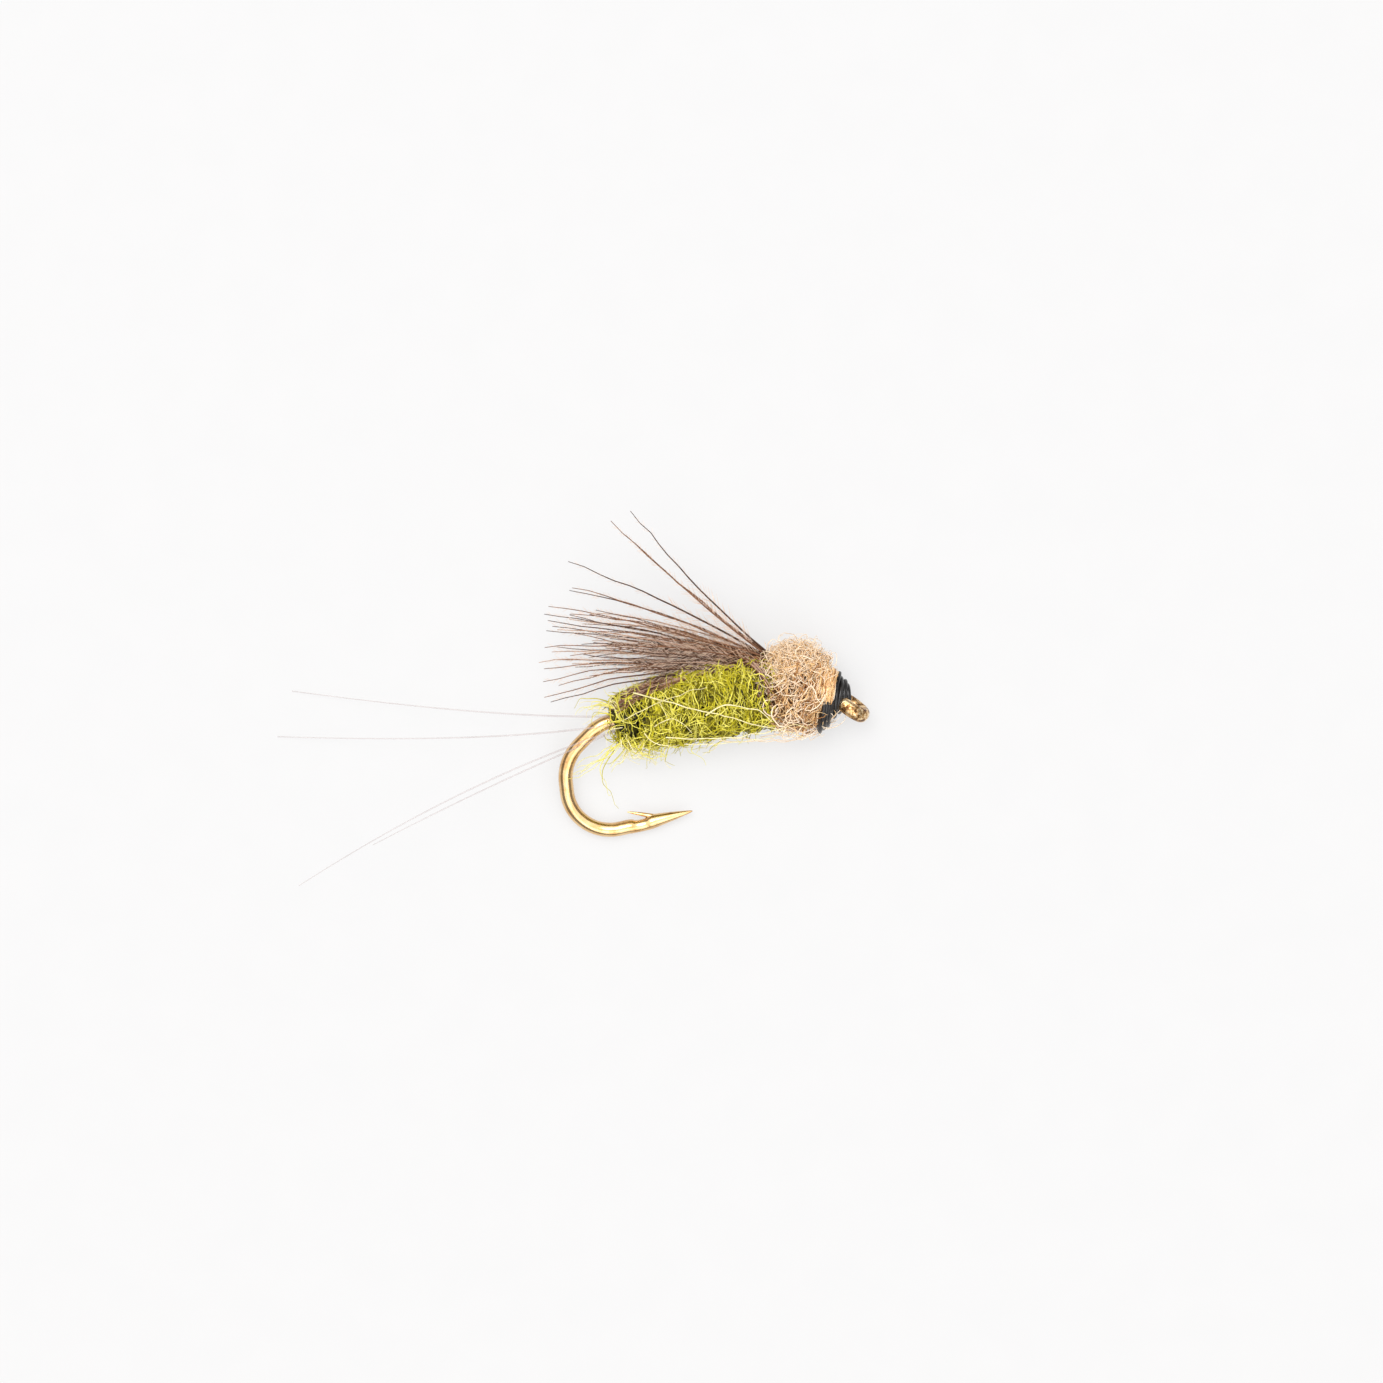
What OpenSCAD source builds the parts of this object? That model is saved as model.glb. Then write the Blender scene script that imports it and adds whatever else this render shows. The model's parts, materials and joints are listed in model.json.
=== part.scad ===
// Dry fly, lying on its side on a table: a forged gold hook dressed with tying thread, dubbed fur,
// feather fibres and four stiff nylon tails. Millimetres, +Z up from the table.
// Fly axes: X runs along the shank from the bend to the eye, Y points to the back of the fly
// (the side of the wing), and Z points across it. lay() rolls the fly on to the table.

/* [Resting pose] */
// Height of the shank's axis above the table
shank_height = 0.96; // [0.95:0.01:1.05]

/* [Hook] */
// Diameter of the wire
wire_d = 0.42; // [0.38:0.01:0.44]
// Straight length of the shank, from the bend to the neck of the eye
shank_len = 6.2; // [6.2:0.05:6.4]
// Radius of the upper curve, just behind the body
heel_r = 1.3; // [1.2:0.05:1.4]
// Angle that the upper curve turns through
heel_angle = 40; // [36:1:44]
// Radius of the middle curve, at the back of the bend
back_r = 1.4; // [1.3:0.05:1.5]
// Radius of the lower curve, at the foot of the bend
throat_r = 1.25; // [1.15:0.05:1.35]
// Angle by which the spear closes towards the shank
spear_angle = 6.8; // [4:0.2:9]
// Length of the spear from the bend to the point
spear_len = 2.17; // [2:0.01:2.4]
// Length of the tapered, sharpened end
point_len = 1.26; // [1.1:0.02:1.4]
// Length of the barb
barb_len = 0.62; // [0.5:0.02:0.7]
// Height of the barb's tip above the middle of the wire
barb_lift = 0.46; // [0.36:0.02:0.5]

/* [Eye] */
// Clear diameter of the eye
eye_hole_d = 0.6; // [0.6:0.01:0.64]
// Diameter of the wire round the eye
eye_wire_d = 0.34; // [0.32:0.01:0.36]
// Angle that the eye is turned down from the shank
eye_angle = 40; // [36:1:44]

/* [Thread] */
// Diameter of the tying thread
thread_d = 0.06; // [0.05:0.005:0.07]

/* [Tails] */
// Diameter of a tail fibre where it is tied in
tail_root_d = 0.09; // [0.07:0.01:0.1]
// Diameter of a tail fibre at its tip
tail_tip_d = 0.03; // [0.02:0.01:0.05]
// Distance from the start of the body back to the longest tail's tip
tail_reach = 9.7; // [9:0.1:10]

/* [Abdomen] */
// Length of the dubbed abdomen
abdomen_len = 4.5; // [4.4:0.05:4.5]
// Largest radius of the abdomen
abdomen_r = 0.93; // [0.88:0.01:0.95]
// Radius of the abdomen at its rear end
abdomen_rear_r = 0.56; // [0.54:0.01:0.6]
// Turns of dubbing that show as bumps
abdomen_turns = 6; // [5:1:7]
// Angle by which the abdomen rises from the shank towards the back
abdomen_tilt = 3.2; // [2:0.2:3.6]

/* [Wing] */
// Diameter of a wing fibre at its root
wing_root_d = 0.06; // [0.05:0.005:0.065]
// Diameter of a wing fibre at its tip
wing_tip_d = 0.025; // [0.02:0.005:0.03]
// Usual length of a wing fibre beyond the shoulder of the abdomen
wing_len = 6.2; // [5.8:0.1:6.4]
// Angle of the lowest wing fibres below the line of the shank
wing_low_angle = 5; // [3:1:6]
// Angle of the highest fibres of the dense fan above the line of the shank
wing_high_angle = 25; // [22:1:28]

/* [Thorax] */
// Radius of the thorax across the fly
thorax_r = 0.95; // [0.92:0.01:0.96]
// Position of the middle of the thorax along the shank
thorax_x = 5.4; // [5.35:0.01:5.45]

/* [Head] */
// Radius of the thread collar behind the head
collar_r = 0.8; // [0.7:0.02:0.82]
// Radius of the head at the collar
head_r = 0.62; // [0.5:0.02:0.64]

/* [Hidden] */
$fn = 64;
hair_sides = 6;
hair_steps = 8;

// Hook: the bend is three arcs and two short straights, drawn from the neck of the eye
bend_x = 0.2;
heel_len = 0.5;
back_len = 0.3;
forged_d = wire_d + 0.012;
lap = 0.02;
neck_x = bend_x + shank_len;
neck_r = 0.2;
neck_d = 0.28;
bend_depth = heel_r * (1 - cos(heel_angle)) + heel_len * sin(heel_angle)
    + back_r * cos(heel_angle) + back_len + throat_r;
barb_root = spear_len - point_len;
eye_mid_r = eye_hole_d / 2 + 0.15;
eye_x = neck_x + neck_r * sin(eye_angle) + eye_mid_r * cos(eye_angle);
eye_y = -neck_r * (1 - cos(eye_angle)) - eye_mid_r * sin(eye_angle);
eye_end_x = eye_x + eye_mid_r * cos(eye_angle) + eye_wire_d / 2;

// The fly rolls until the foot of the bend touches the table
lie_roll = asin((shank_height - forged_d / 2) / bend_depth);

// Thread layers along the shank
thread_r = wire_d / 2 + thread_d;
tie_x = 0.3;
tie_turns = 7;
tail_hold_r = thread_r + tail_root_d / 2;
tie_bore_r = thread_r + tail_root_d;
tie_r = tie_bore_r + 1.5 * thread_d;
abdomen_mouth_r = tie_r + 0.04;
abdomen_dip = 0.1;
wing_tie_x = 4.58;
wing_tie_turns = 7;
wing_tie_r = thread_r + 0.15;
butt_x = wing_tie_x + wing_tie_turns * thread_d + 0.01;
butt_len = 0.5;
butt_pitch = 0.075;
thorax_back_y = 0.6;
thorax_belly_y = 0.15;
thorax_end_x = thorax_x + 0.55;
collar_turns = 3;
collar_x = thorax_end_x + 0.01;
collar_shift = -0.08;
head_x = collar_x + collar_turns * thread_d + 0.01;
head_turns = 6;
whip_x = head_x + head_turns * thread_d + 0.005;
whip_turns = 3;
whip_r = 0.36;

// Wing: fibres lie in rows, from the abdomen's shoulder forwards, and in columns across the fly
wing_rows = 9;
wing_columns = 5;
wing_pitch = 0.078;
wing_offset = 0.1;
wing_lean = 33.5;
wing_root = [4.5, 0.5];
shoulder = [4.45, 1.15];
wing_lengths = rands(0.9, 1.03, wing_rows * wing_columns, 27);
// Each long top fibre: its angle above the shank, its length and its column across the fly
top_fibres = [[28.5, 5.85, -1.5], [35, 6.35, 0.5], [27, 5, 2.5], [47, 5.4, 1.5], [50.5, 6.05, -2.5],
    [56.5, 5.9, -0.5]];

// The middle of the whole fly, which is put over the origin
highest = top_fibres[5];
wing_top_y = laid(wing_tip(highest[2], highest[0], highest[1]))[1] + wing_tip_d / 2;
tail_low_y = -3.8;
centre_x = (eye_end_x - tail_reach) / 2;
centre_y = (wing_top_y + tail_low_y) / 2;

// A point of the fly's own axes, once it lies on the table
function laid(p) = [p[0], p[1] * cos(lie_roll) - p[2] * sin(lie_roll),
    shank_height + p[1] * sin(lie_roll) + p[2] * cos(lie_roll)];
function curve(a, b, c, t) = (1 - t) * (1 - t) * a + 2 * t * (1 - t) * b + t * t * c;
function wing_tip(column, angle, len) = [shoulder[0] - len * cos(angle),
    shoulder[1] + len * sin(angle), column * 0.36];
function tail_hold(angle, x) = [x, tail_hold_r * cos(angle), tail_hold_r * sin(angle)];
function swell(t) = abdomen_rear_r + (abdomen_r - abdomen_rear_r) * sin(90 * min(1, t / 0.55));
function turn_bump(t) = abdomen_dip * (abs(sin(180 * abdomen_turns * t)) - 1);

// Puts the middle of the fly over the origin
module centred() {
    translate([-centre_x, -centre_y, 0]) children();
}

// Lays a piece that is drawn in the fly's own axes on the table
module lay() {
    centred() translate([0, 0, shank_height]) rotate([lie_roll, 0, 0]) children();
}

// Turns a shape that is drawn along Z so that it lies along the shank from x
module along_shank(x) {
    translate([x, 0, 0]) rotate([0, 90, 0]) children();
}

// A tapered rod between two points
module rod(a, b, d1, d2) {
    v = b - a;
    translate(a)
        rotate([0, acos(v[2] / norm(v)), atan2(v[1], v[0])])
            cylinder(h = norm(v), d1 = d1, d2 = d2, $fn = 32);
}

// A tapered fibre with hair_sides flat sides, swept through the points of a path. Each flat between
// two rings is made of two half faces.
module swept(path, d1, d2) {
    n = len(path) - 1;
    m = hair_sides;
    rings = [for (i = [0 : n])
        let (way = path[min(i + 1, n)] - path[max(i - 1, 0)], t = way / norm(way),
            flat = cross([0, 0, 1], t), u = flat / norm(flat), v = cross(t, u),
            r = (d1 + (d2 - d1) * i / n) / 2)
        for (k = [0 : m - 1]) path[i] + r * (u * cos(360 * k / m) + v * sin(360 * k / m))];
    first_halves = [for (i = [0 : n - 1], k = [0 : m - 1])
        [i * m + k, (i + 1) * m + k, i * m + (k + 1) % m]];
    second_halves = [for (i = [0 : n - 1], k = [0 : m - 1])
        [i * m + (k + 1) % m, (i + 1) * m + k, (i + 1) * m + (k + 1) % m]];
    root_end = [for (k = [0 : m - 1]) k];
    tip_end = [for (k = [m - 1 : -1 : 0]) n * m + k];
    polyhedron(rings, concat(first_halves, second_halves, [root_end, tip_end]));
}

// A curved, tapered fibre from its root, over a bow, to its tip
module fibre(root, bow, tip, d1, d2) {
    swept([for (i = [0 : hair_steps]) curve(root, bow, tip, i / hair_steps)], d1, d2);
}

// Close turns of thread round the shank, from radius r1 to radius r2, on a layer of radius bore_r
module wraps(turns, bore_r, r1, r2) {
    rotate_extrude() {
        difference() {
            union() {
                for (i = [0 : turns - 1])
                    translate([r1 + (r2 - r1) * i / max(1, turns - 1) - thread_d / 2, (i + 0.5) * thread_d])
                        circle(d = thread_d * 1.1, $fn = 24);
                polygon([[0, 0], [r1 - thread_d / 2, 0], [r2 - thread_d / 2, turns * thread_d],
                    [0, turns * thread_d]]);
            }
            translate([0, -thread_d]) square([bore_r, (turns + 2) * thread_d]);
        }
    }
}

// Wire that runs straight on, a little into its neighbours, and then whatever follows it
module straight(len) {
    translate([-lap, 0, 0]) rotate([0, 90, 0]) cylinder(h = len + 2 * lap, d = wire_d);
    translate([len, 0, 0]) children();
}

// Wire that turns left, forged a little thicker, and then whatever follows it
module turn(r, angle) {
    translate([0, r, 0]) rotate([0, 0, -90])
        rotate_extrude(angle = angle) translate([r, 0]) circle(d = forged_d);
    translate([0, r, 0]) rotate([0, 0, angle]) translate([0, -r, 0]) children();
}

// The spear: a short straight, the sharpened end, and the barb that is cut up from it
module spear() {
    tip_d = 0.04;
    slot_w = 0.05;
    barb_foot = [barb_root + 0.05, wire_d / 4, 0];
    barb_tip = [barb_root - barb_len + 0.05, barb_lift, 0];
    difference() {
        rotate([0, 90, 0]) rotate_extrude()
            polygon([[0, -lap], [wire_d / 2, -lap], [wire_d * 0.47, barb_root],
                [tip_d / 2, spear_len], [0, spear_len]]);
        translate([barb_root - 0.1, wire_d / 2 - 0.03, 0]) rotate([0, 0, -24])
            cube([0.34, slot_w, wire_d], center = true);
    }
    rod(barb_foot, barb_tip, 0.2, tip_d);
}

// Turns a shape that is drawn round Z so that it lies in the ring of the eye
module at_eye() {
    translate([eye_x, eye_y, 0]) rotate([0, 0, -eye_angle]) rotate([-90, 0, 0]) children();
}

// The room in front of the head that keeps the way through the eye clear, with a flat rear face
module eye_way() {
    at_eye() translate([-eye_hole_d / 2 - 0.04, -1, -3]) cube([3, 2, 6]);
}

// The room that the ring of the eye takes
module eye_room() {
    at_eye() cylinder(h = eye_wire_d + 0.04, r = eye_mid_r + eye_wire_d / 2 + 0.02, center = true);
}

// The turned-down eye: a neck and a closed ring with a short straight wall inside
module eye() {
    ring_rear = [eye_x - eye_mid_r * cos(eye_angle), eye_y + eye_mid_r * sin(eye_angle), 0];
    rod([neck_x - lap, 0, 0], ring_rear, neck_d, neck_d);
    at_eye() rotate_extrude() difference() {
        translate([eye_mid_r, 0]) circle(d = eye_wire_d);
        translate([0, -eye_wire_d]) square([eye_hole_d / 2, 2 * eye_wire_d]);
    }
}

module hook() color("goldenrod") lay() {
    translate([neck_x, 0, 0]) rotate([0, 0, 180])
        straight(shank_len)
            turn(heel_r, heel_angle)
                straight(heel_len)
                    turn(back_r, 90 - heel_angle)
                        straight(back_len)
                            turn(throat_r, 90 + spear_angle)
                                spear();
    eye();
}

// One layer of thread laid along the whole shank, which everything is tied down on
module thread_base() color("#26201c") lay() {
    along_shank(tie_x) difference() {
        cylinder(h = head_x - tie_x, r = thread_r);
        translate([0, 0, -1]) cylinder(h = head_x - tie_x + 2, d = wire_d);
    }
}

// A tail fibre: its straight end, held on the thread base, then a free curve over a bow to its tip
module tail_fibre(angle, bow, tip) {
    held = laid(tail_hold(angle, tie_x + tie_turns * thread_d));
    root = laid(tail_hold(angle, tie_x - 0.1));
    free = [for (i = [0 : 2 * hair_steps]) curve(root, bow, tip, i / (2 * hair_steps))];
    centred() swept(concat([held], free), tail_root_d, tail_tip_d);
}

tail_angles = [100, 60, 140, 175];
tail_bows = [[-3.3, -0.35, 1.1], [-3.2, 0.35, 0.85], [-4.5, -1.3, 1.3], [-3.4, -1.35, 1.3]];
tail_tips = [[-tail_reach, 0.53, 0.03], [-9.15, 1.8, 0.03],
    [-9.4, tail_low_y + tail_tip_d / 2, 1.9], [-7.2, -2.85, 1.5]];

module tail_fibre_1() color("#efece8") tail_fibre(tail_angles[0], tail_bows[0], tail_tips[0]);

module tail_fibre_2() color("#efece8") tail_fibre(tail_angles[1], tail_bows[1], tail_tips[1]);

module tail_fibre_3() color("#efece8") tail_fibre(tail_angles[2], tail_bows[2], tail_tips[2]);

module tail_fibre_4() color("#efece8") tail_fibre(tail_angles[3], tail_bows[3], tail_tips[3]);

// Turns of thread over the ends of the four tails
module tail_tie_in() color("#1d1815") lay() {
    along_shank(tie_x) wraps(tie_turns, tie_bore_r, tie_r, tie_r);
}

// The room that the foot of the wing takes between the abdomen and the thorax
module wing_slot() {
    translate([wing_root[0], wing_root[1], 0]) rotate([0, 0, wing_lean])
        translate([-0.1, -0.14, -0.3]) cube([0.98, 3, 0.6]);
}

// Dubbed fur wound forward in fat turns, open at the rear round the tail tie-in
module abdomen_dubbing() color("#a9a12c") lay() {
    steps = 6 * abdomen_turns;
    difference() {
        rotate([0, 0, abdomen_tilt]) along_shank(0) rotate_extrude()
            polygon(concat([[0, 0]], [for (i = [0 : steps]) [swell(i / steps) + turn_bump(i / steps),
                abdomen_len * i / steps]], [[0, abdomen_len]]));
        along_shank(-1) cylinder(h = abdomen_len + 2, r = thread_r);
        along_shank(-1) cylinder(h = 1 + tie_x + tie_turns * thread_d, r = abdomen_mouth_r);
        wing_slot();
    }
}

// The dubbing's own thread, where it shows in the valleys between the turns
module abdomen_thread() color("#1d1815") lay() rotate([0, 0, abdomen_tilt]) {
    for (i = [1 : abdomen_turns - 2]) {
        t = i / abdomen_turns;
        along_shank(abdomen_len * t) rotate_extrude()
            translate([swell(t) - abdomen_dip + thread_d * 0.58, 0]) circle(d = thread_d, $fn = 24);
    }
}

// Long stray fibres that lie over the abdomen, each from its root over a bow to its tip
module abdomen_guard_fibres() color("#c9c06a") lay() {
    strays = [
        [[0.7, 0.88, 0.62], [2.6, 0.3, 1.62], [5.3, -0.88, 0.66]],
        [[2.7, 0.3, 1.1], [3.7, 0.62, 1.4], [4.4, -0.2, 1.12]],
        [[1.3, -0.98, 0.3], [0.9, -1.25, 0.35], [0.4, -1.5, -0.15]],
        [[0.5, -0.85, 0.1], [-0.3, -1.35, 0.2], [-1.2, -1.5, -0.1]],
        [[-0.02, 0.72, 0.1], [-0.6, 0.82, 0.2], [-1.2, 0.6, -0.2]]];
    for (s = strays) fibre(s[0], s[1], s[2], 0.05, 0.02);
}

// Turns of thread that bind the wing on top of the shank
module wing_tie_in() color("#1d1815") lay() {
    along_shank(wing_tie_x) wraps(wing_tie_turns, thread_r, wing_tie_r, wing_tie_r);
}

// Trimmed ends of the wing fibres, under the thorax
module wing_butts() color("#5d4437") lay() {
    for (row = [0 : 2], column = [-2 : 2]) {
        rest = sqrt(pow(thread_r + 0.04, 2) - pow(column * butt_pitch, 2)) + row * butt_pitch;
        rod([butt_x, rest, column * butt_pitch], [butt_x + butt_len - row * 0.08, rest, column * butt_pitch],
            wing_root_d, wing_root_d);
    }
}

// One wing fibre, by its row, its column across the fly, its angle and its length
module wing_fibre(row, column, angle, len) {
    step = row * wing_pitch;
    root = [wing_root[0] + step * cos(wing_lean), wing_root[1] + step * sin(wing_lean), column * wing_pitch];
    bow = [4.12 - row * 0.03, 1.38 + row * 0.085, column * 0.13];
    fibre(root, bow, wing_tip(column, angle, len), wing_root_d, wing_tip_d);
}

// One row of the dense fan, counted from 1 at the bottom
module wing_row(number) {
    row = number - 1;
    angle = -wing_low_angle + (wing_low_angle + wing_high_angle) * row / (wing_rows - 1);
    for (j = [0 : wing_columns - 1])
        wing_fibre(row, j + wing_offset - (wing_columns - 1) / 2, angle,
            wing_len * wing_lengths[row * wing_columns + j]);
}

// The lowest fibres, which hug the back of the abdomen down to the bend
module wing_back_fibres() color("#6b5041") lay() {
    for (k = [-1.9 : 2.1])
        fibre([4.0, 1.2, k * 0.08], [1.6, 1.62 - abs(k) * 0.03, k * 0.16], [-0.1, 0.4 + k * 0.02, k * 0.1],
            wing_root_d, wing_tip_d);
}

module wing_row_1() color("#765a49") lay() wing_row(1);

module wing_row_2() color("#6b5041") lay() wing_row(2);

module wing_row_3() color("#765a49") lay() wing_row(3);

module wing_row_4() color("#6b5041") lay() wing_row(4);

module wing_row_5() color("#765a49") lay() wing_row(5);

module wing_row_6() color("#6b5041") lay() wing_row(6);

module wing_row_7() color("#765a49") lay() wing_row(7);

module wing_row_8() color("#6b5041") lay() wing_row(8);

module wing_row_9() color("#765a49") lay() wing_row(9);

// Long single fibres that stand clear of the fan
module wing_top_fibres() color("#5d4437") lay() {
    for (top = top_fibres) wing_fibre(wing_rows, top[2], top[0], top[1]);
}

// The dubbed thorax: two balls of fur, the second over the back, cut off at the thread collar
module thorax_dubbing() color("#d8ad7c") lay() {
    difference() {
        hull() {
            translate([thorax_x, thorax_belly_y, 0]) sphere(r = thorax_r, $fn = 40);
            translate([thorax_x, thorax_back_y, 0]) sphere(r = thorax_r, $fn = 40);
        }
        along_shank(0) cylinder(h = 9, r = thread_r);
        along_shank(abdomen_len + 0.02 - 5) cylinder(h = 5, r = 3);
        along_shank(thorax_end_x) cylinder(h = 5, r = 3);
        along_shank(abdomen_len - 0.5) cylinder(h = butt_x + butt_len - abdomen_len + 0.52, r = 0.56);
        wing_slot();
    }
}

// Loose curly fibres on the thorax
module thorax_guard_fibres() color("#e6c9a4") lay() {
    strays = [
        [[4.9, 1.45, 0.5], [5.0, 1.95, 0.6], [5.5, 1.75, 0.5]],
        [[6.2, 0.95, 0.55], [6.7, 1.3, 0.6], [6.6, 0.6, 0.5]],
        [[5.0, 0.2, 1.02], [4.3, -0.4, 1.35], [4.9, -0.85, 0.7]],
        [[5.9, 0.2, 1.0], [6.5, 0.0, 1.2], [5.5, -0.75, 0.95]]];
    for (s = strays) fibre(s[0], s[1], s[2], 0.05, 0.02);
}

// The thread collar in front of the thorax, thickest under the shank
module head_collar() color("#1d1815") lay() {
    difference() {
        translate([0, collar_shift, 0]) along_shank(collar_x) wraps(collar_turns, 0.1, collar_r, collar_r);
        along_shank(0) cylinder(h = 9, r = thread_r);
    }
}

// The head: thread wound down in a cone towards the eye
module head_wraps() color("#1d1815") lay() {
    difference() {
        along_shank(head_x) wraps(head_turns, wire_d / 2, head_r, whip_r);
        eye_room();
        eye_way();
    }
}

// The last turns of the thread, drawn under themselves to lock the head, over the foot of the eye
module whip_finish() color("#2b2420") lay() {
    difference() {
        along_shank(whip_x) wraps(whip_turns, wire_d / 2, whip_r - 0.02, whip_r - 0.08);
        eye_room();
        at_eye() translate([0, 0, -1]) cube(2, center = true);
        eye_way();
    }
}

hook();
thread_base();
tail_tie_in();
tail_fibre_1();
tail_fibre_2();
tail_fibre_3();
tail_fibre_4();
abdomen_dubbing();
abdomen_thread();
abdomen_guard_fibres();
wing_tie_in();
wing_butts();
wing_back_fibres();
wing_row_1();
wing_row_2();
wing_row_3();
wing_row_4();
wing_row_5();
wing_row_6();
wing_row_7();
wing_row_8();
wing_row_9();
wing_top_fibres();
thorax_dubbing();
thorax_guard_fibres();
head_collar();
head_wraps();
whip_finish();
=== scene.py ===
import json
import math
import random

import bpy
from mathutils import Matrix, Vector, noise


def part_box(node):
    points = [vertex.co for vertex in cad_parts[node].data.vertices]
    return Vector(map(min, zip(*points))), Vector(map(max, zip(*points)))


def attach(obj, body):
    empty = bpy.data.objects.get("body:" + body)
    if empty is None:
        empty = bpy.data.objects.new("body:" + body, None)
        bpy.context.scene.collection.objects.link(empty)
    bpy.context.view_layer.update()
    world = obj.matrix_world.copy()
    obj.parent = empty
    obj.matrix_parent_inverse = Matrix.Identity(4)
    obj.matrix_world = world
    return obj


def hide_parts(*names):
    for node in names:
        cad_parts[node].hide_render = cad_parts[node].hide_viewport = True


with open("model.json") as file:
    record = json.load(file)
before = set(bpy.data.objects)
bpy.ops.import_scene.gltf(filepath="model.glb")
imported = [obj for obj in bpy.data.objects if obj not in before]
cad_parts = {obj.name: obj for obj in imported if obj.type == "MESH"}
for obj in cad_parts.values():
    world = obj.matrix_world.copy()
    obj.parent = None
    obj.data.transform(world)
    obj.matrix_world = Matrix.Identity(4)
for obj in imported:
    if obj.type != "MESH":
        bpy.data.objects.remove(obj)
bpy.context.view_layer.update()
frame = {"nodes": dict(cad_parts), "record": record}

bpy.ops.object.select_all(action="DESELECT")
noise.seed_set(7)    # without a seed, noise_vector() starts from the clock

# ---------------------------------------------------------------- the fly's own axes, from the frame

MM = 0.001
BODY = "root"
BODY_START = 0.3  # the thread base begins this far along the shank, in millimetres

thread_low, thread_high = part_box("thread_base")
eye_mount = next(m for m in frame["record"]["mounts"] if m["name"] == "eye")
EYE_AT = Vector(eye_mount["pos_m"])
EYE_AXIS = Vector(eye_mount["axis"])
ROLL = math.atan2(EYE_AXIS.z, EYE_AXIS.y)
LAY = Matrix.Rotation(ROLL, 3, "X")
SHANK = Vector((thread_low.x - BODY_START * MM, (thread_low.y + thread_high.y) / 2,
                (thread_low.z + thread_high.z) / 2))
UP = Vector((0, 0, 1))


def fly(x, y, z=0.0):
    """A point of the fly, in millimetres: x along the shank, y towards the back, z across it."""
    return SHANK + LAY @ Vector((x, y, z)) * MM


def table(x, y, z=0.0):
    """A point over the table, in millimetres from the start of the body."""
    return Vector((SHANK.x + x * MM, SHANK.y + y * MM, z * MM))


def in_fly(p):
    """The fly's own millimetres of a point, the way back from fly()."""
    return LAY.transposed() @ (p - SHANK) / MM


# ---------------------------------------------------------------- materials

def new_material(name):
    """A new material with its nodes, its links and its main shader."""
    material = bpy.data.materials.new(name)
    material.use_nodes = True
    nodes = material.node_tree.nodes
    return material, nodes, material.node_tree.links, nodes["Principled BSDF"]


def place_pattern(nodes, links, kind, scale, **settings):
    """A noise or wave texture on the piece's own coordinates, so many repeats to a metre."""
    coords = nodes.new("ShaderNodeTexCoord")
    texture = nodes.new(kind)
    texture.inputs["Scale"].default_value = scale
    for key, value in settings.items():
        texture.inputs[key].default_value = value
    links.new(coords.outputs["Object"], texture.inputs["Vector"])
    return texture


def ramp(nodes, links, source, stops):
    """A colour ramp of (place, colour) stops behind a texture's value."""
    node = nodes.new("ShaderNodeValToRGB")
    elements = node.color_ramp.elements
    while len(elements) < len(stops):
        elements.new(0.5)
    for element, (place, colour) in zip(elements, stops):
        element.position = place
        element.color = (*colour, 1) if len(colour) == 3 else colour
    links.new(source, node.inputs["Fac"])
    return node


def rough_between(nodes, links, source, low, high, shader):
    """Lets a texture's value drive the roughness between two limits."""
    span = nodes.new("ShaderNodeMapRange")
    span.inputs["To Min"].default_value = low
    span.inputs["To Max"].default_value = high
    links.new(source, span.inputs["Value"])
    links.new(span.outputs["Result"], shader.inputs["Roughness"])


def add_bump(nodes, links, source, depth, shader):
    """Fine relief, so many millimetres deep."""
    bump = nodes.new("ShaderNodeBump")
    bump.inputs["Strength"].default_value = 0.6
    bump.inputs["Distance"].default_value = depth * MM
    links.new(source, bump.inputs["Height"])
    links.new(bump.outputs["Normal"], shader.inputs["Normal"])


def gold_wire():
    """Bright gold finish with faint drawing marks and darker specks."""
    material, nodes, links, shader = new_material("gold_wire")
    shader.inputs["Metallic"].default_value = 1.0
    specks = place_pattern(nodes, links, "ShaderNodeTexNoise", 2600, Detail=6.0, Roughness=0.65)
    tone = ramp(nodes, links, specks.outputs["Fac"],
                [(0.28, (0.3, 0.11, 0.04)), (0.38, (0.68, 0.4, 0.15)), (0.6, (0.83, 0.57, 0.28))])
    links.new(tone.outputs["Color"], shader.inputs["Base Color"])
    shader.inputs["Coat Weight"].default_value = 0.6
    shader.inputs["Coat Roughness"].default_value = 0.08
    rough_between(nodes, links, specks.outputs["Fac"], 0.24, 0.1, shader)
    add_bump(nodes, links, specks.outputs["Fac"], 0.006, shader)
    return material


def eye_gold():
    """The gold of the eye, mottled with near-black patches and bright ones."""
    material, nodes, links, shader = new_material("eye_gold")
    shader.inputs["Metallic"].default_value = 1.0
    mottle = place_pattern(nodes, links, "ShaderNodeTexNoise", 5200, Detail=5.0, Roughness=0.7)
    tone = ramp(nodes, links, mottle.outputs["Fac"],
                [(0.42, (0.1, 0.04, 0.015)), (0.5, (0.62, 0.36, 0.14)), (0.6, (0.98, 0.8, 0.52))])
    links.new(tone.outputs["Color"], shader.inputs["Base Color"])
    rough_between(nodes, links, mottle.outputs["Fac"], 0.45, 0.14, shader)
    add_bump(nodes, links, mottle.outputs["Fac"], 0.03, shader)
    return material


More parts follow.
